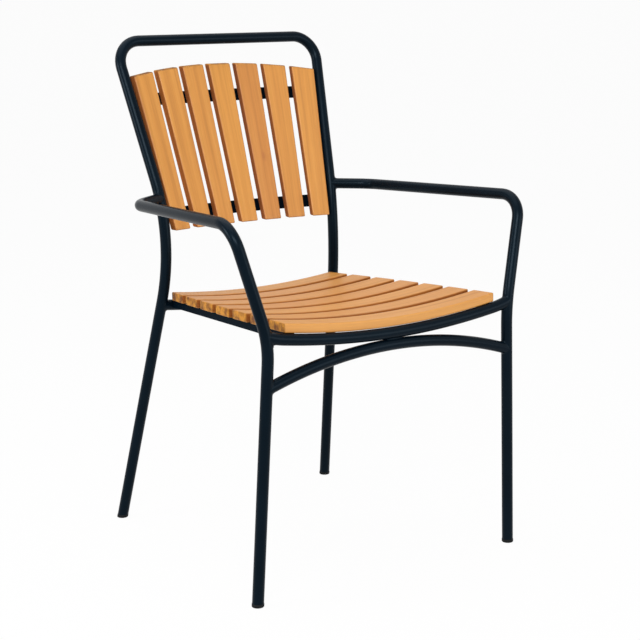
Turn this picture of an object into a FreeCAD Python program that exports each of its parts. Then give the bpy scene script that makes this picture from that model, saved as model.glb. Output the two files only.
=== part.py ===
import FreeCAD, Part
import math
import os

os.makedirs("parts", exist_ok=True)

# Garden armchair: one tube diameter bent and welded into a frame, with wooden slats screwed
# to it for the seat and the back. Millimetres, +Z up, the front faces -Y, and the origin is
# on the floor in the middle of the outline. The right side is +X; the left side mirrors it.

# Tube of the frame
tube_diameter = 19.0
bend_radius = 43.0
rear_bend_radius = 360.0
knee_radius = 200.0
sweep_sag = 0.9
weld_gap = 0.1

# Seat heights on the leg axes, which the rest of the frame is measured from
seat_front_height = 418.0
seat_fall = 16.5

# Corners of the right front leg and armrest, before their bends are rounded
front_foot_half_width = 259.0
front_foot_y = -256.2
knee_half_width = 239.0
knee_y = -262.7
knee_rise = 4.0
arm_front_half_width = 287.5
arm_front_y = -236.7
arm_front_rise = 181.0
arm_rear_half_width = 243.5
arm_rear_y = 131.3
arm_fall = 15.0
arm_root_rise = 2.0

# Corners of the right half of the back hoop, from the rear foot to the top rail
rear_foot_half_width = 225.5
rear_foot_y = 250.3
waist_half_width = 171.5
waist_y = 138.3
waist_rise = 118.0
top_half_width = 210.5
top_y = 261.3
back_rise = 335.5

# Seat: slats dished along their length lie on two angle rails and fall to the rear
seat_dish_radius = 1400.0
front_slat_end_gap = 29.0
rear_slat_end_gap = 15.0
seat_side_bulge = 5.0
seat_slat_count = 7
seat_slat_width = 48.0
seat_slat_thickness = 15.0
front_slat_lead = 2.5
rear_slat_clearance = 3.0

# Tubes and angles under the seat
front_rail_gap = 1.5
front_rail_rise = 24.0
rear_rail_rise = 2.5
rear_rail_dip = 11.0
arch_drop = 69.5
side_rail_width = 20.0
side_rail_depth = 12.5
side_rail_thickness = 3.0
side_rail_inset = 3.0
side_rail_bed = 0.5
side_rail_lap = 4.0

# Back: slats fan out from the seat and stand on two bowed flat bars
back_bow_radius = 850.0
lower_bar_rise = 159.0
upper_bar_drop = 100.5
bar_width = 22.0
bar_thickness = 4.0
bar_set_back = 4.5
back_slat_count = 7
back_slat_thickness = 14.0
back_slat_top_width = 45.5
back_slat_bottom_width = 34.0
back_slat_foot = 25.0
back_slat_head = 61.5
back_slat_post_gap = 0.5
back_slat_bar_gap = 0.1
back_top_arc_radius = 1220.0

# Small things: screw heads, foot caps and the overrun of cuts
screw_head_width = 7.0
screw_head_height = 2.8
foot_height = 6.0
foot_lip = 0.5
overrun = 10.0

tube_radius = tube_diameter / 2
seat_rear_height = seat_front_height - seat_fall
knee_height = seat_front_height + knee_rise
arm_front_height = knee_height + arm_front_rise
arm_rear_height = arm_front_height - arm_fall
arm_root_height = arm_rear_height + arm_root_rise
waist_height = seat_rear_height + waist_rise
top_height = waist_height + back_rise
lower_bar_height = seat_rear_height + lower_bar_rise
upper_bar_height = top_height - upper_bar_drop
reach = arm_front_half_width + top_height
across = FreeCAD.Vector(1, 0, 0)
upright = FreeCAD.Vector(0, 0, 1)
origin = FreeCAD.Vector(0, 0, 0)


def vec(x, y, z):
    return FreeCAD.Vector(x, y, z)


def mirror_point(point):
    return vec(-point.x, point.y, point.z)


def mirror_shape(shape):
    return shape.mirror(origin, across)


def run_on(inner, outer):
    # a point past the outer one, on the line from the inner one
    return outer + (outer - inner).normalize() * overrun


def slab(bottom, top):
    # everything between two heights
    return Part.makeBox(2 * reach, 2 * reach, top - bottom, vec(-reach, -reach, bottom))


def bent_path(corners, radii):
    # straight runs between the corners, each corner rounded by an arc
    edges = []
    start = corners[0]
    for before, corner, after, radius in zip(corners, corners[1:], corners[2:], radii):
        back = (before - corner).normalize()
        ahead = (after - corner).normalize()
        half_angle = back.getAngle(ahead) / 2
        setback = radius / math.tan(half_angle)
        middle = (back + ahead).normalize() * (radius / math.sin(half_angle) - radius)
        edges.append(Part.makeLine(start, corner + back * setback))
        start = corner + ahead * setback
        edges.append(Part.Arc(corner + back * setback, corner + middle, start).toShape())
    edges.append(Part.makeLine(start, corners[-1]))
    return Part.Wire(edges)


def tangent_arc(start, heading, end):
    # start, middle and end of the arc that leaves along the heading
    chord = end - start
    side = (chord - heading * chord.dot(heading)).normalize()
    radius = chord.dot(chord) / (2 * chord.dot(side))
    center = start + side * radius
    return start, center + (start + end - center * 2).normalize() * radius, end


def three_point_path(*arcs):
    return Part.Wire([Part.Arc(*points).toShape() for points in arcs])


def outline_at(start, heading):
    # the tube's outline, square to its heading
    return Part.Wire(Part.makeCircle(tube_radius, start, heading))


def tight_bend(edge):
    # piece of a torus
    disc = Part.Face(outline_at(edge.firstVertex().Point, edge.tangentAt(edge.FirstParameter)))
    turn = math.degrees(edge.LastParameter - edge.FirstParameter)
    return disc.revolve(edge.Curve.Center, edge.Curve.Axis, turn)


def straight_runs(points):
    # cylinders mitred to each other
    line = Part.makePolygon(points)
    return line.makePipeShell([outline_at(points[0], points[1] - points[0])], True, False, 1)


def tube(path, bends=()):
    # closed tube along a path; the bends named by their place in it are truly round, and other
    # arcs are taken in short straight steps within the sag
    pieces = []
    points = []
    for place, edge in enumerate(path.OrderedEdges):
        if place in bends:
            pieces += [straight_runs(points), tight_bend(edge)]
            points = []
            continue
        steps = 1
        if isinstance(edge.Curve, Part.Circle):
            steps = math.ceil(edge.Length / math.sqrt(8 * edge.Curve.Radius * sweep_sag))
        points += edge.discretize(steps + 1)[min(len(points), 1):]
    pieces.append(straight_runs(points))
    whole = pieces[0]
    for piece in pieces[1:]:
        whole = whole.fuse(piece)
    return whole


def at_height(path, height):
    # where the right half of a path passes a height
    level = Part.makePlane(2 * reach, 2 * reach, vec(-reach, -reach, height))
    crossings = [corner.Point for corner in path.section(level).Vertexes]
    return max(crossings, key=lambda point: point.x)


# Paths of the frame

front_foot = vec(front_foot_half_width, front_foot_y, 0)
knee = vec(knee_half_width, knee_y, knee_height)
arm_front = vec(arm_front_half_width, arm_front_y, arm_front_height)
arm_rear = vec(arm_rear_half_width, arm_rear_y, arm_rear_height)
rear_foot = vec(rear_foot_half_width, rear_foot_y, 0)
waist = vec(waist_half_width, waist_y, waist_height)
top = vec(top_half_width, top_y, top_height)

hoop_half = [run_on(waist, rear_foot), waist, top]
hoop_bends = (3, 5)
hoop_path = bent_path(
    hoop_half + [mirror_point(corner) for corner in reversed(hoop_half)],
    [rear_bend_radius, bend_radius, bend_radius, rear_bend_radius])
hoop_solid = tube(hoop_path, hoop_bends)

arm_root = at_height(hoop_path, arm_root_height)
arm_bends = (1, 3)
arm_path = bent_path(
    [arm_root, arm_rear, arm_front, knee, run_on(knee, front_foot)],
    [bend_radius, bend_radius, knee_radius])
arm_solid = tube(arm_path, arm_bends)
arm_solids = [arm_solid, mirror_shape(arm_solid)]

# Seat frame of reference: y runs from the front rail to the rear one, z is square to the seat

front_leg_axis = at_height(arm_path, seat_front_height)
rear_leg_axis = at_height(hoop_path, seat_rear_height)
seat_run = rear_leg_axis.y - front_leg_axis.y
seat_length = math.hypot(seat_run, seat_fall)
seat_tilt = math.degrees(math.atan2(seat_fall, seat_run))
seat_place = FreeCAD.Placement(vec(0, front_leg_axis.y, seat_front_height),
                               FreeCAD.Rotation(across, -seat_tilt))
seat_under_radius = seat_dish_radius + seat_slat_thickness
seat_front_half_length = knee_half_width - front_slat_end_gap
seat_rear_half_length = rear_leg_axis.x - rear_slat_end_gap
seat_rear_edge = seat_length - tube_radius - rear_slat_clearance
seat_slat_pitch = (seat_rear_edge + front_slat_lead - seat_slat_width) / (seat_slat_count - 1)


def half_length(y):
    # straight from the front slat to the rear one, with a slight bulge between them
    share = (y + front_slat_lead) / (seat_rear_edge + front_slat_lead)
    straight = seat_front_half_length + (seat_rear_half_length - seat_front_half_length) * share
    return straight + seat_side_bulge * 4 * share * (1 - share)


def underside(x):
    return seat_under_radius - math.sqrt(seat_under_radius ** 2 - x ** 2)


def dish(radius, start, length):
    # round bar whose lower skin is one of the two faces of the dished slats
    return Part.makeCylinder(radius, length, vec(0, start, seat_under_radius), vec(0, 1, 0))


# Front rail: follows the dish under the front slat, then sweeps up into the two legs

rail_radius = seat_under_radius + front_rail_gap + tube_radius
rail_middle = vec(0, 0, seat_under_radius - rail_radius)
shoulder_angle = math.asin(seat_front_half_length / rail_radius)
rail_shoulder = vec(seat_front_half_length, 0, seat_under_radius - rail_radius * math.cos(shoulder_angle))
rail_heading = vec(math.cos(shoulder_angle), 0, math.sin(shoulder_angle))
rail_end_height = seat_place.multVec(rail_middle).z + front_rail_rise
rail_end = at_height(arm_path, rail_end_height)
rail_arm = tangent_arc(seat_place.multVec(rail_shoulder), seat_place.Rotation.multVec(rail_heading), rail_end)
rail_sweep = [seat_place.multVec(point)
              for point in (mirror_point(rail_shoulder), rail_middle, rail_shoulder)]
left_rail_arm = [mirror_point(point) for point in reversed(rail_arm)]
front_rail_path = three_point_path(left_rail_arm, rail_sweep, rail_arm)
front_rail_solid = tube(front_rail_path)

# Rear rail and arch: plain arcs through three points

rear_rail_end = at_height(hoop_path, seat_rear_height + rear_rail_rise)
rear_rail_middle = vec(0, rear_rail_end.y, rear_rail_end.z - rear_rail_dip)
rear_rail_path = three_point_path([mirror_point(rear_rail_end), rear_rail_middle, rear_rail_end])
rear_rail_solid = tube(rear_rail_path)

arch_end = at_height(arm_path, seat_front_height - arch_drop)
arch_top = seat_place.multVec(rail_middle) - upright * (tube_diameter + weld_gap)
arch_path = three_point_path([mirror_point(arch_end), arch_top, arch_end])

# Right side rail: outer top corner at each end, and the slope of the slats over it

side_start = tube_radius - side_rail_lap
side_end = seat_length - side_start
side_front_x = half_length(side_start) - side_rail_inset
side_rear_x = half_length(side_end) - side_rail_inset
side_front = vec(side_front_x, side_start, underside(side_front_x))
side_rear = vec(side_rear_x, side_end, underside(side_rear_x))
side_slope = math.asin((side_front_x + side_rear_x) / 2 / seat_under_radius)
side_out = vec(math.cos(side_slope), 0, math.sin(side_slope))
side_up = vec(-math.sin(side_slope), 0, math.cos(side_slope))

# Back frame of reference: origin on the face of the lower bar, z along the slats, y to the rear

lower_post = at_height(hoop_path, lower_bar_height)
upper_post = at_height(hoop_path, upper_bar_height)


def bow_depth(x):
    return back_bow_radius - math.sqrt(back_bow_radius ** 2 - x ** 2)


lower_middle = vec(0, lower_post.y + bow_depth(lower_post.x), lower_bar_height)
upper_middle = vec(0, upper_post.y + bow_depth(upper_post.x), upper_bar_height)
back_up = upper_middle - lower_middle
bar_spacing = back_up.Length
back_lean = math.degrees(math.atan2(back_up.y, back_up.z))
back_turn = FreeCAD.Rotation(across, -back_lean)
back_place = FreeCAD.Placement(lower_middle + back_turn.multVec(vec(0, bar_set_back, 0)), back_turn)
back_axis = vec(0, -back_bow_radius, 0)
back_slat_length = back_slat_foot + bar_spacing + back_slat_head
back_slat_spread = (back_slat_top_width - back_slat_bottom_width) / back_slat_length
back_slat_widths = [back_slat_bottom_width + back_slat_spread * (back_slat_foot + rise)
                    for rise in (0, bar_spacing)]
back_slat_pitches = [
    (post.x - tube_radius - back_slat_post_gap - width / 2) / ((back_slat_count - 1) / 2)
    for post, width in zip((lower_post, upper_post), back_slat_widths)]


def bow(radius, bottom, height):
    # round bar whose rear skin is one of the two faces of the bowed flat bars
    return Part.makeCylinder(radius, height, back_axis + upright * bottom)


def screw_head(seat, direction):
    # six-sided head that bears on the seat
    radius = screw_head_width / math.sqrt(3)
    corners = [vec(radius * math.cos(turn * math.pi / 3), radius * math.sin(turn * math.pi / 3), 0)
               for turn in range(7)]
    head = Part.Face(Part.makePolygon(corners)).extrude(-upright * screw_head_height)
    head.Placement = FreeCAD.Placement(seat, FreeCAD.Rotation(upright, direction))
    return head


def seat_screw_seats():
    # for each slat, where its right screw's head bears on the underside of the rail
    seats = []
    for index in range(seat_slat_count):
        y = index * seat_slat_pitch + seat_slat_width / 2 - front_slat_lead
        corner = side_front + (side_rear - side_front) * ((y - side_start) / (side_end - side_start))
        seats.append(corner - side_out * (side_rail_width / 2) - side_up * side_rail_thickness)
    return seats


def back_screw_seats(index):
    # for the lower and the upper bar: where the head bears, and the way the screw points
    seats = []
    step = index - (back_slat_count - 1) / 2
    for pitch, height in zip(back_slat_pitches, (0, bar_spacing)):
        turn = math.asin(step * pitch / back_bow_radius)
        outward = vec(math.sin(turn), math.cos(turn), 0)
        level = height - bow_depth(step * pitch) * math.tan(math.radians(back_lean))
        seat = back_axis + outward * (back_bow_radius + bar_thickness) + upright * level
        seats.append((back_place.multVec(seat), back_turn.multVec(-outward)))
    return seats


def back_hoop():
    return hoop_solid.cut(slab(-reach, foot_height))


def arm_leg():
    return arm_solid.cut(slab(-reach, foot_height)).cut(hoop_solid)


def cope(rail, legs):
    # the ends of a rail shaped to the legs they meet
    for leg in legs:
        rail = rail.cut(leg)
    return rail


def seat_front_rail():
    return cope(front_rail_solid, arm_solids)


def seat_rear_rail():
    return rear_rail_solid.cut(hoop_solid)


def front_arch():
    return cope(tube(arch_path), arm_solids)


def side_rail():
    # angle: a flange under the slats and a flange down its outer edge, coped onto the tubes
    inner = side_front - side_out * side_rail_width
    raised = side_up * side_rail_bed
    flange = side_up * side_rail_thickness
    web = side_out * side_rail_thickness
    drop = side_up * side_rail_depth
    outline = [side_front + raised, inner + raised, inner - flange, side_front - web - flange,
               side_front - web - drop, side_front - drop, side_front + raised]
    angle = Part.Face(Part.makePolygon(outline)).extrude(side_rear - side_front)
    angle = angle.cut(dish(seat_under_radius, -overrun, seat_length + 2 * overrun))
    angle.Placement = seat_place
    return angle.cut(front_rail_solid).cut(rear_rail_solid)


def seat_slat(index):
    # a board with ends on the seat's taper, bent to the dish, all its edges rounded
    front = index * seat_slat_pitch - front_slat_lead
    rear = front + seat_slat_width
    outline = [vec(half_length(front), front, 0), vec(half_length(rear), rear, 0),
               vec(-half_length(rear), rear, 0), vec(-half_length(front), front, 0)]
    rise = underside(seat_front_half_length) + seat_slat_thickness + overrun
    block = Part.Face(Part.makePolygon(outline + outline[:1])).extrude(upright * rise)
    slat = block.common(dish(seat_under_radius, front - overrun, seat_slat_width + 2 * overrun))
    slat = slat.cut(dish(seat_dish_radius, front - overrun, seat_slat_width + 2 * overrun))
    slat.Placement = seat_place
    return slat


def seat_screws():
    right = [screw_head(seat, side_up) for seat in seat_screw_seats()]
    group = Part.makeCompound(right + [mirror_shape(one) for one in right])
    group.Placement = seat_place
    return group


def back_bar(post):
    # flat bar bowed to the back, level from post to post, its ends let into the rear of the posts
    height = back_place.inverse().multVec(vec(0, post.y, post.z)).z
    bottom = height - bar_width - overrun
    tall = 2 * (bar_width + overrun)
    block = Part.makeBox(2 * post.x, back_bow_radius + overrun, tall,
                         vec(-post.x, -back_bow_radius / 2, bottom))
    bar = block.common(bow(back_bow_radius + bar_thickness, bottom, tall))
    bar = bar.cut(bow(back_bow_radius, bottom, tall))
    bar.Placement = back_place
    half_rise = bar_width * math.cos(math.radians(back_lean)) / 2
    bar = bar.common(slab(post.z - half_rise, post.z + half_rise))
    return bar.cut(hoop_solid)


def back_slat(index):
    # a board tapered to its foot, fanned and turned to its place in the bow; the feet of the
    # slats are level and their heads are cut to one arc
    step = index - (back_slat_count - 1) / 2
    lower_x, upper_x = [step * pitch for pitch in back_slat_pitches]
    turn = math.degrees(math.asin((lower_x + upper_x) / 2 / back_bow_radius))
    fan = math.degrees(math.atan2(upper_x - lower_x, bar_spacing))
    foot = -back_slat_foot - overrun
    head = bar_spacing + back_slat_head + overrun
    foot_half = (back_slat_bottom_width - back_slat_spread * overrun) / 2
    head_half = (back_slat_top_width + back_slat_spread * overrun) / 2
    corner_lift = bow_depth(head_half + abs(upper_x - lower_x) / 2) + back_slat_bar_gap
    face = -corner_lift - back_slat_thickness
    outline = [vec(-foot_half, face, foot), vec(foot_half, face, foot),
               vec(head_half, face, head), vec(-head_half, face, head)]
    slat = Part.Face(Part.makePolygon(outline + outline[:1])).extrude(vec(0, back_slat_thickness, 0))
    slat.rotate(vec(0, 0, bar_spacing / 2), vec(0, 1, 0), fan)
    slat.rotate(back_axis, upright, -turn)
    slat.Placement = back_place.multiply(slat.Placement)
    foot_level = back_place.multVec(vec(0, 0, -back_slat_foot)).z
    head_level = back_place.multVec(vec(0, 0, bar_spacing + back_slat_head)).z
    arc = Part.makeCylinder(back_top_arc_radius, 2 * reach,
                            vec(0, -reach, head_level - back_top_arc_radius), vec(0, 1, 0))
    return slat.common(slab(foot_level, head_level + overrun)).common(arc)


def back_screws():
    return Part.makeCompound([
        screw_head(seat, direction)
        for index in range(back_slat_count) for seat, direction in back_screw_seats(index)])


def foot_cap(knuckle, foot):
    # a round cap under the tube's end, flat on the floor
    start = run_on(knuckle, foot)
    cap = Part.makeCylinder(tube_radius + foot_lip, 4 * overrun, start, knuckle - foot)
    return cap.common(slab(0, foot_height))


def feet():
    right = [foot_cap(knee, front_foot), foot_cap(waist, rear_foot)]
    return Part.makeCompound(right + [mirror_shape(cap) for cap in right])


arm = arm_leg()
side = side_rail()

parts = {
    "back_hoop": back_hoop(),
    "arm_leg_right": arm,
    "arm_leg_left": mirror_shape(arm),
    "seat_front_rail": seat_front_rail(),
    "seat_rear_rail": seat_rear_rail(),
    "seat_side_rail_right": side,
    "seat_side_rail_left": mirror_shape(side),
    "front_arch": front_arch(),
    "back_bar_lower": back_bar(lower_post),
    "back_bar_upper": back_bar(upper_post),
    "feet": feet(),
    "seat_screws": seat_screws(),
    "back_screws": back_screws(),
}
for index in range(seat_slat_count):
    parts["seat_slat_%d" % (index + 1)] = seat_slat(index)
for index in range(back_slat_count):
    parts["back_slat_%d" % (index + 1)] = back_slat(index)

for name, shape in parts.items():
    shape.exportStep("parts/%s.step" % name)
    print(name, len(shape.Solids), shape.isValid(), round(shape.Volume))

whole = Part.makeCompound(list(parts.values())).BoundBox
print("box", whole)
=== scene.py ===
import math

import bmesh
import bpy
import numpy as np
from mathutils import Matrix, Vector


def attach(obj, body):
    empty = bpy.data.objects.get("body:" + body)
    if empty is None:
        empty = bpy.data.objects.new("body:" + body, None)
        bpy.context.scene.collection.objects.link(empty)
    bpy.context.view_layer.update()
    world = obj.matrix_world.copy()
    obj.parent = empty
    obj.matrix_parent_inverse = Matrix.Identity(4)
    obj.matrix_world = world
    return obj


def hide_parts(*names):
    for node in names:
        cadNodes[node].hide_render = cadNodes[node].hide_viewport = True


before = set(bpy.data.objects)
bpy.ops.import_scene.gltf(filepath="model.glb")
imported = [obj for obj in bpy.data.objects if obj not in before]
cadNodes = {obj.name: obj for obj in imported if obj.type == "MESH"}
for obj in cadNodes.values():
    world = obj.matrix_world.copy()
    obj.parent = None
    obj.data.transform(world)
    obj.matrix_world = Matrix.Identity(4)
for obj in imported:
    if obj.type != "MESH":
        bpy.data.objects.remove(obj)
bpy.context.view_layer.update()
print("frame loaded,", len(cadNodes), "nodes")


# helpers for meshes

def unit(arrows):
    # every arrow divided by its own length
    return arrows / np.linalg.norm(arrows, axis=-1, keepdims=True)


def mirrorX(points):
    # x changes sign, y and z stay
    return points * np.array([-1.0, 1.0, 1.0])


def fullTurn(sides):
    # even angles round a circle; the last one stops short of the first
    return np.linspace(0, 2 * np.pi, sides, endpoint=False)


def turnX(points, angle):
    # turned about the x axis: y and z mixed by cosine and sine
    c, s = math.cos(angle), math.sin(angle)
    x, y, z = points[..., 0], points[..., 1], points[..., 2]
    return np.stack([x, y * c - z * s, y * s + z * c], axis=-1)


def gridMesh(name, grids, sharp, closed=False):
    # rings of points, each joined to the next by quads; an open run has a flat face over each end
    points, faces, start = [], [], 0
    for grid in grids:
        rings, sides = grid.shape[:2]
        index = start + np.arange(rings * sides).reshape(rings, sides)
        here = index if closed else index[:-1]
        there = np.roll(index, -1, axis=0)[:len(here)]
        quads = np.stack([here, np.roll(here, -1, 1), np.roll(there, -1, 1), there], axis=-1)
        faces += quads.reshape(-1, 4).tolist()
        if not closed:
            faces += [index[0].tolist(), index[-1].tolist()]
        points.append(grid.reshape(-1, 3))
        start += rings * sides
    mesh = bpy.data.meshes.new(name)
    mesh.from_pydata(np.concatenate(points).tolist(), [], faces)
    work = bmesh.new()
    work.from_mesh(mesh)
    bmesh.ops.recalc_face_normals(work, faces=work.faces)
    work.to_mesh(mesh)
    work.free()
    mesh.shade_smooth()
    mesh.set_sharp_from_angle(angle=math.radians(sharp))
    return mesh


def addPiece(mesh, material, slotName, *stoodFor):
    # an object at the origin that rides on the root and takes the place of the named CAD nodes
    mesh.materials.append(material)
    piece = bpy.data.objects.new(mesh.name, mesh)
    bpy.context.scene.collection.objects.link(piece)
    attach(piece, "root")
    if stoodFor:
        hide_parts(*stoodFor)


# helpers for materials

def startMaterial(name):
    # a new material with its node tree and its main shader
    material = bpy.data.materials.new(name)
    material.use_nodes = True
    return material, material.node_tree, material.node_tree.nodes["Principled BSDF"]


def addNode(tree, kind, inputs, **settings):
    # a shader node whose sockets take either a number or another node's output
    node = tree.nodes.new(kind)
    for key, value in settings.items():
        setattr(node, key, value)
    for key, value in inputs.items():
        if isinstance(value, bpy.types.NodeSocket):
            tree.links.new(value, node.inputs[key])
        else:
            node.inputs[key].default_value = value
    return node


def addRamp(tree, source, stops):
    # colour ramp from (place, colour) pairs
    ramp = addNode(tree, "ShaderNodeValToRGB", {"Fac": source})
    marks = ramp.color_ramp.elements
    while len(marks) < len(stops):
        marks.new(0.5)
    for mark, (place, colour) in zip(marks, stops):
        mark.position = place
        mark.color = (*colour, 1.0)
    return ramp.outputs["Color"]


def addRange(tree, source, low, high):
    # 0..1 turned into low..high
    node = addNode(tree, "ShaderNodeMapRange", {"Value": source, "To Min": low, "To Max": high})
    return node.outputs["Result"]


def addMath(tree, operation, first, second):
    # one number from two
    return addNode(tree, "ShaderNodeMath", {0: first, 1: second}, operation=operation).outputs["Value"]


def addMix(tree, share, first, second, blend="MIX"):
    # first colour blended with the second by share
    return addNode(tree, "ShaderNodeMixRGB", {
        "Fac": share, "Color1": first, "Color2": second}, blend_type=blend).outputs["Color"]


def addNoise(tree, place, scale, detail, rough):
    # cloudy 0..1 noise, finer with scale, more broken with detail and rough
    return addNode(tree, "ShaderNodeTexNoise", {
        "Vector": place, "Scale": scale, "Detail": detail, "Roughness": rough}).outputs["Fac"]


def addStretch(tree, place, scale):
    # each direction multiplied by its own scale
    return addNode(tree, "ShaderNodeMapping", {"Vector": place, "Scale": scale}).outputs["Vector"]


def addBump(tree, shader, height, look):
    # the height, times the bump depth, tilts the normal
    bump = addNode(tree, "ShaderNodeBump", {
        "Height": height, "Strength": look["bumpStrength"], "Distance": look["bumpDepth"]})
    tree.links.new(bump.outputs["Normal"], shader.inputs["Normal"])


def objectPlace(tree):
    # the piece's own coordinates, in metres
    return addNode(tree, "ShaderNodeTexCoord", {}).outputs["Object"]


def readLayer(tree, layer, output="Fac"):
    # a value that is stored on the mesh's points
    return addNode(tree, "ShaderNodeAttribute", {}, attribute_name=layer).outputs[output]


def addTwoTone(tree, shader, cloud, speck, look):
    # deep to pale colour along the cloud noise; roughness and bump along the speck noise
    stops = list(zip(look["stops"], (look["deep"], look["pale"])))
    tree.links.new(addRamp(tree, cloud, stops), shader.inputs["Base Color"])
    tree.links.new(addRange(tree, speck, *look["roughness"]), shader.inputs["Roughness"])
    addBump(tree, shader, speck, look)


coatLook = {
    "deep": (0.0006, 0.0032, 0.0066),
    "pale": (0.0018, 0.0060, 0.0112),
    "stops": (0.3, 0.7),
    "cloud": (9.0, 4.0, 0.5),  # each noise: scale, detail, roughness
    "peel": (900.0, 2.0, 0.6),
    "roughness": (0.24, 0.32),
    "specular": 0.09,
    "specularTint": (0.60, 0.82, 1.00),
    "bumpStrength": 0.06,
    "bumpDepth": 0.00015,
}
bracketLook = {**coatLook, "roughness": (0.45, 0.55), "specular": 0.02}  # hidden steel is duller


def frameCoat(name, look):
    # powder coat: two near-black blues in soft clouds, with a fine orange-peel skin
    material, tree, shader = startMaterial(name)
    place = objectPlace(tree)
    cloud = addNoise(tree, place, *look["cloud"])
    peel = addNoise(tree, place, *look["peel"])
    addTwoTone(tree, shader, cloud, peel, look)
    shader.inputs["Specular IOR Level"].default_value = look["specular"]
    shader.inputs["Specular Tint"].default_value = (*look["specularTint"], 1.0)
    return material


grainShift = {
    "start": (0.3, 0.0, 0.0),
    "perRow": (0.0, 0.9, 0.0),
    "perSlat": (1.7, 0.23, 0.4),
}


def grainOffset(row, index):
    # a far place of its own in the wood for each slat, so that no two slats share a figure
    shift = {key: np.array(value) for key, value in grainShift.items()}
    return shift["start"] + row * shift["perRow"] + index * shift["perSlat"]


woodLook = {
    "golden": [(0.22, (0.530, 0.205, 0.026)), (0.48, (0.690, 0.290, 0.042)), (0.75, (0.770, 0.350, 0.062))],
    "reddish": [(0.22, (0.450, 0.155, 0.022)), (0.48, (0.600, 0.228, 0.036)), (0.75, (0.670, 0.276, 0.052))],
    "figure": ((2.4, 110.0, 60.0), 5.0, 0.55),  # stretch along, across and deep, then detail, roughness
    "fibre": ((22.0, 1300.0, 900.0), 3.0, 0.6),
    "pore": ((45.0, 2600.0, 1500.0), 1.0, 0.5),
    "fibreShade": (0.74, 1.08),
    "fibreShare": 0.85,
    # painted shade: colour multiplied onto slat faces inside the gaps, standing in for the shade of the
    # neighbouring slat
    "gapShade": (0.52, 0.33, 0.08),
    "endTones": [(0.38, (0.150, 0.045, 0.005)), (0.62, (0.600, 0.250, 0.024))],
    "endBlotch": (70.0, 4.0, 0.6),
    "knotSlat": (1, 4),  # row and slat, counted from 0
    "knotPlace": (0.087, 0.0025, 0.0),
    "knotScale": (75.0, 180.0, 0.0),
    "knotFade": [(0.25, (0.75, 0.75, 0.75)), (0.95, (0.0, 0.0, 0.0))],
    "knotColour": (0.420, 0.135, 0.022),
    "roughness": (0.56, 0.42),
    "specular": 0.7,
    "bumpStrength": 0.22,
    "bumpDepth": 0.0005,
}


def knotMask(tree, grain, look):
    # distance from the knot, each direction multiplied by its own scale, faded out by a ramp
    knotAt = np.array(look["knotPlace"]) + grainOffset(*look["knotSlat"])
    away = addNode(tree, "ShaderNodeVectorMath", {0: grain, 1: knotAt.tolist()}, operation="SUBTRACT")
    scaled = addNode(tree, "ShaderNodeVectorMath", {
        0: away.outputs["Vector"], 1: look["knotScale"]}, operation="MULTIPLY")
    span = addNode(tree, "ShaderNodeVectorMath", {0: scaled.outputs["Vector"]}, operation="LENGTH")
    return addRamp(tree, span.outputs["Value"], look["knotFade"])


def slatWood(look):
    # oiled hardwood: stretched noise for figure, fibres and pores, in grain space (along, across, deep)
    material, tree, shader = startMaterial("slatWood")
    grain = readLayer(tree, "grain", "Vector")
    tone, end, gap = (readLayer(tree, layer) for layer in ("tone", "endGrain", "gapEdge"))
    figure, fibre, pore = (addNoise(tree, addStretch(tree, grain, scale), 1.0, detail, rough)
                           for scale, detail, rough in (look["figure"], look["fibre"], look["pore"]))
    golden, reddish = addRamp(tree, figure, look["golden"]), addRamp(tree, figure, look["reddish"])
    colour = addMix(tree, tone, golden, reddish)
    shade = addRange(tree, fibre, *look["fibreShade"])
    colour = addMix(tree, look["fibreShare"], colour, shade, "MULTIPLY")
    colour = addMix(tree, knotMask(tree, grain, look), colour, (*look["knotColour"], 1.0))
    # painted shade: faces that look into a gap between slats are darkened here, in place of the shade the
    # neighbour casts
    colour = addMix(tree, gap, colour, (*look["gapShade"], 1.0), "MULTIPLY")
    blotch = addNoise(tree, grain, *look["endBlotch"])
    colour = addMix(tree, end, colour, addRamp(tree, blotch, look["endTones"]))
    tree.links.new(colour, shader.inputs["Base Color"])
    # faces in the gaps and at the ends are left unpolished, fully rough
    sawn = addMath(tree, "MAXIMUM", gap, end)
    rough = addMath(tree, "MAXIMUM", addRange(tree, figure, *look["roughness"]), sawn)
    tree.links.new(rough, shader.inputs["Roughness"])
    shader.inputs["Specular IOR Level"].default_value = look["specular"]
    addBump(tree, shader, addMath(tree, "ADD", fibre, pore), look)
    return material


footLook = {
    "deep": (0.0030, 0.0036, 0.0042),
    "pale": (0.0070, 0.0078, 0.0086),
    "stops": (0.35, 0.65),
    "speck": (260.0, 4.0, 0.5),
    "roughness": (0.55, 0.70),
    "specular": 0.15,
    "bumpStrength": 0.20,
    "bumpDepth": 0.0004,
}


def footPlastic(look):
    # moulded plastic: a dull near-black with a fine grain from the mould
    material, tree, shader = startMaterial("footPlastic")
    speck = addNoise(tree, objectPlace(tree), *look["speck"])
    addTwoTone(tree, shader, speck, speck, look)
    shader.inputs["Specular IOR Level"].default_value = look["specular"]
    return material


steelLook = {
    "deep": (0.300, 0.300, 0.295),
    "pale": (0.480, 0.480, 0.470),
    "stops": (0.35, 0.65),
    "stretch": (120.0, 120.0, 900.0),
    "mark": (1.0, 3.0, 0.5),
    "roughness": (0.32, 0.46),
    "bumpStrength": 0.08,
    "bumpDepth": 0.00008,
}


def screwSteel(look):
    # stainless steel: grey metal with stretched machining marks
    material, tree, shader = startMaterial("screwSteel")
    drawn = addStretch(tree, objectPlace(tree), look["stretch"])
    mark = addNoise(tree, drawn, *look["mark"])
    shader.inputs["Metallic"].default_value = 1.0
    addTwoTone(tree, shader, mark, mark, look)
    return material


coat = frameCoat("frameCoat", coatLook)
bracketCoat = frameCoat("bracketCoat", bracketLook)
wood = slatWood(woodLook)
plastic = footPlastic(footLook)
steel = screwSteel(steelLook)
print("finishes made")


# the six tubes of the frame

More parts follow.
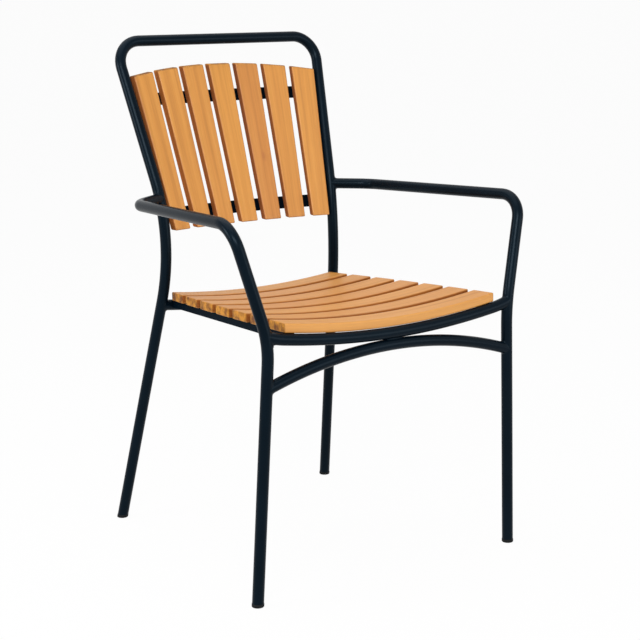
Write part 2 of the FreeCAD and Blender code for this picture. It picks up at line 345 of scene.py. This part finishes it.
tubeFrame = {
    "radius": 0.0095,
    "sides": 40,
    "step": 0.006,
    "sharp": 35.0,
    "bend": 0.043,
    "rearBend": 0.360,
    "kneeBend": 0.200,
    "footHeight": 0.006,
    "hoopCorners": [(0.2255, 0.2503, 0.0), (0.1715, 0.1383, 0.5195), (0.2105, 0.2613, 0.855)],
    "armCorners": [(0.1803518, 0.1658826, 0.590), (0.2435, 0.1313, 0.588), (0.2875, -0.2367, 0.603),
                   (0.239, -0.2627, 0.422), (0.259, -0.2562, 0.0)],
    "frontRail": [(0.0, -0.2619997, 0.4078), (0.210, -0.2613970, 0.4233),
                  (0.2266558, -0.2611673, 0.4265), (0.2428640, -0.2606746, 0.4310083)],
    "rearRail": [(0.0, 0.1632009, 0.393), (0.1835058, 0.1632009, 0.404)],
    "arch": [(0.0, -0.2619997, 0.3885), (0.2424834, -0.2615679, 0.3485)],
}


def arcBetween(centre, first, last, step):
    # an arm turned from first to last in even angles: each arm weighted by the sine of its share
    turn = math.acos(float(unit(first) @ unit(last)))
    count = max(3, math.ceil(turn * np.linalg.norm(first) / step) + 1)
    share = np.linspace(0, 1, count)[:, None]
    return centre + (np.sin((1 - share) * turn) * first + np.sin(share * turn) * last) / math.sin(turn)


def bentPath(corners, radii, step):
    # straight runs with rounded corners: an arc touches both runs at radius x tan(half the turn)
    path = [corners[:1]]
    for before, corner, after, radius in zip(corners, corners[1:], corners[2:], radii):
        back, ahead = unit(before - corner), unit(after - corner)
        halfTurn = (math.pi - math.acos(float(back @ ahead))) / 2
        reach = radius * math.tan(halfTurn)
        centre = corner + unit(back + ahead) * radius / math.cos(halfTurn)
        first, last = corner + back * reach - centre, corner + ahead * reach - centre
        path.append(arcBetween(centre, first, last, step))
    return np.concatenate(path + [corners[-1:]])


def arcThrough(start, middle, end, step):
    # circle through three points: its centre from the two chords that leave the middle one
    left, right = start - middle, end - middle
    across = np.cross(left, right)
    centre = middle + np.cross((left @ left) * right - (right @ right) * left, across) / (2 * across @ across)
    return np.concatenate([arcBetween(centre, start - centre, middle - centre, step)[:-1],
                           arcBetween(centre, middle - centre, end - centre, step)])


def mirroredArc(middle, end, step):
    # circle through the middle, the end and the end's mirror image
    return arcThrough(mirrorX(end), middle, end, step)


def sweepTube(path, radius, sides, guide):
    # a circle carried along the path: centre + radius x (side x cosine + rise x sine)
    heading = unit(np.gradient(path, axis=0))
    side = unit(np.cross(heading, np.array(guide, float)))
    rise = np.cross(side, heading)
    turn = fullTurn(sides)[None, :, None]
    return path[:, None] + radius * (side[:, None] * np.cos(turn) + rise[:, None] * np.sin(turn))


def liftEnd(corners, end, inner, height):
    # the run's end moved along its run to the given height
    share = (height - corners[end, 2]) / (corners[inner, 2] - corners[end, 2])
    corners[end] += share * (corners[inner] - corners[end])
    return corners


def framePaths(made):
    # centre lines of the six tubes; a rail ends on the line of the leg it meets
    step, inCap = made["step"], made["footHeight"] / 2
    half = liftEnd(np.array(made["hoopCorners"]), 0, 1, inCap)
    hoopRadii = [made["rearBend"], made["bend"], made["bend"], made["rearBend"]]
    hoop = bentPath(np.concatenate([half, mirrorX(half)[::-1]]), hoopRadii, step)
    armRadii = [made["bend"], made["bend"], made["kneeBend"]]
    arm = bentPath(liftEnd(np.array(made["armCorners"]), -1, -2, inCap), armRadii, step)
    middle, shoulder, sweep, end = np.array(made["frontRail"])
    tail = arcThrough(shoulder, sweep, end, step)[1:]
    front = np.concatenate([mirrorX(tail)[::-1], mirroredArc(middle, shoulder, step), tail])
    return {  # each with the arrow that its rings are turned to
        "back_hoop": (hoop, (0, 1, 0)),
        "arm_leg_right": (arm, (1, 1, -1)),
        "arm_leg_left": (mirrorX(arm), (-1, 1, -1)),
        "seat_front_rail": (front, (0, 0, 1)),
        "seat_rear_rail": (mirroredArc(*np.array(made["rearRail"]), step), (0, 0, 1)),
        "front_arch": (mirroredArc(*np.array(made["arch"]), step), (0, 1, 0)),
    }


paths = framePaths(tubeFrame)
for node, (path, guide) in paths.items():
    tube = sweepTube(path, tubeFrame["radius"], tubeFrame["sides"], guide)
    addPiece(gridMesh("tube_" + node, [tube], tubeFrame["sharp"]), coat, "frame_coat", node)
print("tube frame made,", len(paths), "tubes")


# welds: a fillet round each tube end, and a bead on both sides where the arch touches the front rail

weldFillets = {
    "reach": 0.0042,
    "around": 96,
    "across": 7,
    "least": 0.10,
    "sink": 0.0012,
    "sharp": 35.0,
    "contactHalf": 0.016,
    "contactSize": 0.0022,
    "contactOut": 0.0036,
    "contactTip": 1.02,
    "contactRings": 41,
    "contactSides": 12,
    "contactSharp": 80.0,
}


def weldFillet(branch, tip, main, made):
    # each line on the branch is run on until it is one radius from the main line; that seam is the middle
    # handle of a curve from the branch's skin to the main tube's skin
    radius, middle = tubeFrame["radius"], branch[tip]
    run = unit(middle - (branch[1] if tip == 0 else branch[-2]))
    near = int(np.argmin(np.linalg.norm(main - middle, axis=1)))
    axis = unit(main[min(near + 1, len(main) - 1)] - main[max(near - 1, 0)])
    foot = main[near] + ((middle - main[near]) @ axis) * axis
    side = unit(np.cross(run, axis))
    rise = np.cross(side, run)
    turn = fullTurn(made["around"])[:, None]
    spoke = side * np.cos(turn) + rise * np.sin(turn)
    # run length where the distance from the main line, squared, equals the radius squared
    gap = middle + radius * spoke - foot
    flatGap, flatRun = gap - (gap @ axis)[:, None] * axis, run - (run @ axis) * axis
    a, b = flatRun @ flatRun, flatGap @ flatRun
    c = (flatGap * flatGap).sum(axis=1) - radius ** 2
    reach = (-b - np.sqrt(np.maximum(b * b - a * c, 0))) / a
    seam = middle + radius * spoke + reach[:, None] * run
    # the fillet is widest where the two skins stand square to each other
    away = unit(flatGap + reach[:, None] * flatRun)
    sway = spoke - (spoke * away).sum(axis=1)[:, None] * away
    lean = np.maximum(np.linalg.norm(sway, axis=1), made["least"])[:, None]
    onBranch = seam - run * made["reach"] * lean
    beyond = seam + sway * made["reach"] - foot
    level = (beyond @ axis)[:, None] * axis
    onMain = foot + level + radius * unit(beyond - level)
    t = np.linspace(0, 1, made["across"])[None, :, None]
    curve = (1 - t) ** 2 * onBranch[:, None] + 2 * t * (1 - t) * seam[:, None] + t ** 2 * onMain[:, None]
    sunk = seam - unit(spoke + away) * made["sink"]
    return np.concatenate([curve, sunk[:, None]], axis=1)


def contactBead(rail, side, made):
    # a bead in the groove where the arch touches the rail, thinning as a half ellipse to its ends
    x = np.linspace(-1, 1, made["contactRings"]) * made["contactHalf"]
    z = np.interp(x, rail[:, 0], rail[:, 2]) - tubeFrame["radius"]
    path = np.stack([x, rail[len(rail) // 2, 1] + side * made["contactOut"] + 0 * x, z], axis=1)
    size = made["contactSize"] * np.sqrt(made["contactTip"] - (x / made["contactHalf"]) ** 2)
    turn = fullTurn(made["contactSides"])[None, :]
    ring = np.stack([0 * turn, np.cos(turn), np.sin(turn)], axis=-1)
    return path[:, None] + size[:, None, None] * ring


def frameWelds(made):
    # arms to the hoop, then front rail, arch and rear rail to the legs
    right, left = paths["arm_leg_right"][0], paths["arm_leg_left"][0]
    hoop, rear = paths["back_hoop"][0], paths["seat_rear_rail"][0]
    front, arch = paths["seat_front_rail"][0], paths["front_arch"][0]
    joints = [(right, 0, hoop), (left, 0, hoop), (front, -1, right), (front, 0, left),
              (arch, -1, right), (arch, 0, left), (rear, -1, hoop), (rear, 0, hoop)]
    return [weldFillet(*joint, made) for joint in joints]


fillets = gridMesh("welds_round", frameWelds(weldFillets), weldFillets["sharp"], closed=True)
addPiece(fillets, coat, "frame_coat")
contact = [contactBead(paths["seat_front_rail"][0], side, weldFillets) for side in (-1, 1)]
addPiece(gridMesh("welds_contact", contact, weldFillets["contactSharp"]), coat, "frame_coat")
print("weld fillets made")


# slats: a section with rounded corners carried along a board

slatEdges = {
    "rounding": 0.0023,
    "shoulder": 0.0010,
    "cornerSteps": 5,
    "endSteps": 5,
    "endStart": 0.2,
    "boardSteps": 34,
    "sharp": 60.0,
}


def slatSection(made):
    # four corner signs, the arrows that fan a quarter turn at each, and the slide of the points beside them
    steps = made["cornerSteps"]
    fan = np.concatenate([[0], np.linspace(0, np.pi / 2, steps), [np.pi / 2]])
    quarter = np.repeat(np.arange(4), steps + 2) * np.pi / 2
    angle = np.tile(fan, 4) + quarter
    slide = made["shoulder"] * np.tile(np.concatenate([[-1], np.zeros(steps), [1]]), 4)
    corners = np.sign(np.stack([np.cos(quarter + np.pi / 4), np.sin(quarter + np.pi / 4)]))
    arrows = np.stack([np.cos(angle), np.sin(angle)])
    slides = slide * np.stack([-np.sin(angle), np.cos(angle)])
    return corners, arrows, slides


def slatRows(made):
    # share of the board, reach past it and ring size: both ends close in on a quarter circle
    turn = np.linspace(made["endStart"], np.pi / 2, made["endSteps"])
    body = np.linspace(0, 1, made["boardSteps"])[1:-1]
    share = np.concatenate([0 * turn, body, 1 + 0 * turn])
    reach = np.concatenate([-np.cos(turn), 0 * body, np.cos(turn)[::-1]])
    ring = np.concatenate([np.sin(turn), 1 + 0 * body, np.sin(turn)[::-1]])
    return share[:, None], reach[:, None], ring[:, None]


def addSlat(name, grid, grain, tone, gapSides):
    # grain place, tone, end share and the share that faces a gap (low side, high side) go on the points
    mesh = gridMesh("board_" + name, [grid], slatEdges["sharp"])
    rows = np.zeros(grid.shape[:2])
    outward = slatSection(slatEdges)[1][0]
    shares = {
        "tone": rows + tone,
        "endGrain": rows + np.abs(slatRows(slatEdges)[1]),
        "gapEdge": rows + np.where(outward < 0, gapSides[0], gapSides[1]) * outward ** 2,
    }
    layer = mesh.attributes.new("grain", "FLOAT_VECTOR", "POINT")
    layer.data.foreach_set("vector", grain.astype(np.float32).ravel())
    for layerName, values in shares.items():
        layer = mesh.attributes.new(layerName, "FLOAT", "POINT")
        layer.data.foreach_set("value", values.astype(np.float32).ravel())
    addPiece(mesh, wood, "slat_wood", name)


seatSlats = {
    "width": 0.048,
    "thickness": 0.015,
    "pitch": 0.061272171,
    "lead": 0.0025,
    "frontHalf": 0.210,
    "rearHalf": 0.1687656,
    "sideRun": 0.415633,
    "sideBulge": 0.005,
    "underRadius": 1.415,
    "base": (0.0, -0.2615732, 0.418),
    "tilt": 2.221673,
    "tones": [0.10, 0.30, 0.05, 0.45, 0.20, 0.35, 0.15],
}


def seatSlat(made, index):
    # dished board: x runs between two bulging sides, z climbs a circle about the seat's axis
    corners, arrows, slides = slatSection(slatEdges)
    share, reach, ring = slatRows(slatEdges)
    rounding = slatEdges["rounding"]
    halfWide, halfThick = made["width"] / 2, made["thickness"] / 2
    middle = index * made["pitch"] - made["lead"] + halfWide
    across = corners[0] * (halfWide - rounding) + arrows[0] * rounding * ring + slides[0]
    rise = halfThick + corners[1] * (halfThick - rounding) + arrows[1] * rounding * ring + slides[1]
    y = middle + across
    side = (y + made["lead"]) / made["sideRun"]
    halfLong = made["frontHalf"] + (made["rearHalf"] - made["frontHalf"]) * side
    halfLong = halfLong + 4 * made["sideBulge"] * side * (1 - side)
    x = (2 * share - 1) * (halfLong - rounding) + reach * rounding
    z = made["underRadius"] - np.sqrt((made["underRadius"] - rise) ** 2 - x ** 2)
    grid = turnX(np.stack([x, y, z], axis=-1), -math.radians(made["tilt"])) + np.array(made["base"])
    return grid, np.stack([x, across, rise], axis=-1) + grainOffset(0, index)


for index, tone in enumerate(seatSlats["tones"]):
    gapSides = (float(index > 0), float(index < len(seatSlats["tones"]) - 1))
    addSlat("seat_slat_%d" % (index + 1), *seatSlat(seatSlats, index), tone, gapSides)
print("seat slats made")

backSlats = {
    "thickness": 0.014,
    "bottomWidth": 0.034,
    "topWidth": 0.0455,
    "footRun": 0.025,
    "spread": 0.039294,
    "overrun": 0.010,
    "barSpacing": 0.206163684,
    "pitches": (0.050345008, 0.055758577),
    "bowRadius": 0.850,
    "barGap": 0.0001,
    "base": (0.0, 0.1825013, 0.5589772),
    "lean": 19.779845,
    "footLevel": 0.5354522,
    "headLevel": 0.8108487,
    "headArc": 1.220,
    "tones": [0.20, 0.20, 0.35, 0.00, 0.90, 0.30, 0.15],
}


def backPlace(x, y, z, made, step):
    # fanned about the bar mid-height, turned round the bow's axis, then leaned back to the posts
    low, high = (step * pitch for pitch in made["pitches"])
    turn = math.asin((low + high) / 2 / made["bowRadius"])
    fan = math.atan2(high - low, made["barSpacing"])
    rise = z - made["barSpacing"] / 2
    fannedX = x * math.cos(fan) + rise * math.sin(fan)
    fannedZ = rise * math.cos(fan) - x * math.sin(fan) + made["barSpacing"] / 2
    depth = y + made["bowRadius"]
    bowedX = fannedX * math.cos(turn) + depth * math.sin(turn)
    bowedY = depth * math.cos(turn) - fannedX * math.sin(turn) - made["bowRadius"]
    bowed = np.stack([bowedX, bowedY, fannedZ], axis=-1)
    return turnX(bowed, -math.radians(made["lean"])) + np.array(made["base"])


def backSlat(made, index):
    # tapered board: lines along it run from the level foot to the circle that all heads share
    corners, arrows, slides = slatSection(slatEdges)
    share, reach, ring = slatRows(slatEdges)
    rounding, step = slatEdges["rounding"], index - len(made["tones"]) // 2
    low, high = (step * pitch for pitch in made["pitches"])
    headHalf = (made["topWidth"] + made["spread"] * made["overrun"]) / 2 + abs(high - low) / 2
    lift = made["bowRadius"] - math.sqrt(made["bowRadius"] ** 2 - headHalf ** 2) + made["barGap"]
    halfThick = made["thickness"] / 2
    halfAtBar = (made["bottomWidth"] + made["spread"] * made["footRun"]) / 2
    x = corners[0] * (halfAtBar - rounding) + arrows[0] * rounding * ring + slides[0]
    y = corners[1] * (halfThick - rounding) + arrows[1] * rounding * ring + slides[1]
    depth = y - lift - halfThick
    widen = corners[0] * made["spread"] / 2 + 0 * x
    start = backPlace(x, depth, 0 * x, made, step)
    run = backPlace(x + widen, depth, 0 * x + 1, made, step) - start
    foot = (made["footLevel"] - start[..., 2]) / run[..., 2]
    # run length where the line meets the head circle, seen from the front
    fromCentre = start[..., 2] - made["headLevel"] + made["headArc"]
    a = run[..., 0] ** 2 + run[..., 2] ** 2
    b = start[..., 0] * run[..., 0] + fromCentre * run[..., 2]
    c = start[..., 0] ** 2 + fromCentre ** 2 - made["headArc"] ** 2
    head = (np.sqrt(b * b - a * c) - b) / a
    along = foot + rounding + share * (head - foot - 2 * rounding) + reach * rounding
    grid = start + along[..., None] * run
    return grid, np.stack([along, x + widen * along, y], axis=-1) + grainOffset(1, index)


for index, tone in enumerate(backSlats["tones"]):
    addSlat("back_slat_%d" % (index + 1), *backSlat(backSlats, index), tone, (1.0, 1.0))
print("back slats made")

footCaps = {
    "rings": [(0.0000, 0.0070), (0.0000, 0.0083), (0.0004, 0.0093), (0.0012, 0.0099), (0.0024, 0.0100),
              (0.0050, 0.0100), (0.0057, 0.0099), (0.0060, 0.0096), (0.0060, 0.0088)],  # height, radius
    "sides": 40,
    "sharp": 60.0,
}


def footCap(foot, knuckle, made):
    # rings of a rounded profile, each centred on the leg's own line at its height
    height, radius = np.array(made["rings"]).T
    centre = foot + (height / knuckle[2])[:, None] * (knuckle - foot)
    turn = fullTurn(made["sides"])[None, :]
    ring = np.stack([np.cos(turn), np.sin(turn), 0 * turn], axis=-1)
    return centre[:, None] + radius[:, None, None] * ring


frontKnee, frontFoot = np.array(tubeFrame["armCorners"][-2:])
rearFoot, rearKnee = np.array(tubeFrame["hoopCorners"][:2])
frontCap, rearCap = footCap(frontFoot, frontKnee, footCaps), footCap(rearFoot, rearKnee, footCaps)
caps = [frontCap, rearCap, mirrorX(frontCap), mirrorX(rearCap)]
addPiece(gridMesh("caps_feet", caps, footCaps["sharp"]), plastic, "foot_plastic", "feet")
print("foot caps made")


# CAD pieces that keep their own shape

keptFinishes = {
    "seat_side_rail_right": bracketCoat,
    "seat_side_rail_left": bracketCoat,
    "back_bar_lower": bracketCoat,
    "back_bar_upper": bracketCoat,
    "seat_screws": steel,
    "back_screws": steel,
}

for node, finish in keptFinishes.items():
    for holder in cadNodes[node].material_slots:
        holder.material = finish
print("kept pieces finished")


# floor, light and camera

studio = {
    "floorHalf": 120.0,
    "floorColour": (0.90, 0.90, 0.90),
    "floorGlow": 0.965,
    "worldLight": 0.13,
    "lamps": {  # place, aim, width and height, power
        "keyLamp": ((1.95, -3.75, 1.12), (0.0, 0.0, 1.12), (2.3, 2.1), 40.0),
        "postLamp": ((-2.00, -2.45, 2.10), (0.0, 0.1, 0.65), (2.0, 1.0), 73.0),
        "leftLamp": ((-2.70, 0.70, 1.10), (0.0, 0.0, 0.45), (0.9, 0.9), 26.0),
        "topLamp": ((-0.35, 0.25, 3.00), (0.0, 0.0, 0.45), (3.0, 3.0), 48.0),
    },
}
white = (1.0, 1.0, 1.0, 1.0)


def seenDirectly(tree):
    # 1 for camera, glossy and transmission rays, 0 for the rays that light the object
    rays = addNode(tree, "ShaderNodeLightPath", {}).outputs
    first = addMath(tree, "MAXIMUM", rays["Is Camera Ray"], rays["Is Glossy Ray"])
    return addMath(tree, "MAXIMUM", first, rays["Is Transmission Ray"])


def addFloor(made):
    # one square on z = 0; seen directly it is mostly plain white, with the shadow in the rest
    h = made["floorHalf"]
    mesh = bpy.data.meshes.new("floor")
    mesh.from_pydata([(-h, -h, 0), (h, -h, 0), (h, h, 0), (-h, h, 0)], [], [(0, 1, 2, 3)])
    material = bpy.data.materials.new("paleFloor")
    material.use_nodes = True
    tree = material.node_tree
    tree.nodes.clear()
    paint = addNode(tree, "ShaderNodeBsdfDiffuse", {"Color": (*made["floorColour"], 1.0)})
    glow = addNode(tree, "ShaderNodeEmission", {"Color": white, "Strength": 1.0})
    share = addMath(tree, "MULTIPLY", seenDirectly(tree), made["floorGlow"])
    mixed = addNode(tree, "ShaderNodeMixShader", {
        0: share, 1: paint.outputs["BSDF"], 2: glow.outputs["Emission"]})
    addNode(tree, "ShaderNodeOutputMaterial", {"Surface": mixed.outputs["Shader"]})
    mesh.materials.append(material)
    floor = bpy.data.objects.new("floor", mesh)
    bpy.context.scene.collection.objects.link(floor)


def addWorld(made):
    # white where it is seen, dim where it lights the object
    world = bpy.data.worlds.new("studioWorld")
    world.use_nodes = True
    bpy.context.scene.world = world
    tree = world.node_tree
    strength = addRange(tree, seenDirectly(tree), made["worldLight"], 1.0)
    ground = tree.nodes["Background"]
    ground.inputs["Color"].default_value = white
    tree.links.new(strength, ground.inputs["Strength"])


def addLamp(name, place, aim, size, power):
    # a rectangle of light whose face is turned from its place to its aim
    lamp = bpy.data.lights.new(name, "AREA")
    lamp.shape, lamp.energy = "RECTANGLE", power
    lamp.size, lamp.size_y = size
    holder = bpy.data.objects.new(name, lamp)
    holder.location = place
    holder.rotation_euler = (Vector(aim) - Vector(place)).to_track_quat("-Z", "Y").to_euler()
    bpy.context.scene.collection.objects.link(holder)


viewCamera = {
    "place": (-1.559, -2.2832, 0.972),
    "bearing": 35.01,
    "dip": 12.04,
    "roll": -0.12,
    "lens": 91.8,
    "sensor": 36.0,
    "farthest": 400.0,
}


def addCamera(made):
    # turned by bearing about z, tipped down by dip, then rolled about its own line of sight
    lens = bpy.data.cameras.new("viewCamera")
    lens.lens, lens.sensor_width, lens.clip_end = made["lens"], made["sensor"], made["farthest"]
    camera = bpy.data.objects.new("viewCamera", lens)
    spin = Matrix.Rotation(-math.radians(made["bearing"]), 3, "Z")
    tip = Matrix.Rotation(math.radians(90.0 - made["dip"]), 3, "X")
    roll = Matrix.Rotation(math.radians(made["roll"]), 3, "Z")
    camera.location = made["place"]
    camera.rotation_euler = (spin @ tip @ roll).to_euler()
    bpy.context.scene.collection.objects.link(camera)
    bpy.context.scene.camera = camera


addFloor(studio)
addWorld(studio)
for name, settings in studio["lamps"].items():
    addLamp(name, *settings)
addCamera(viewCamera)
bpy.context.scene.view_settings.view_transform = "Standard"
print("stage set")
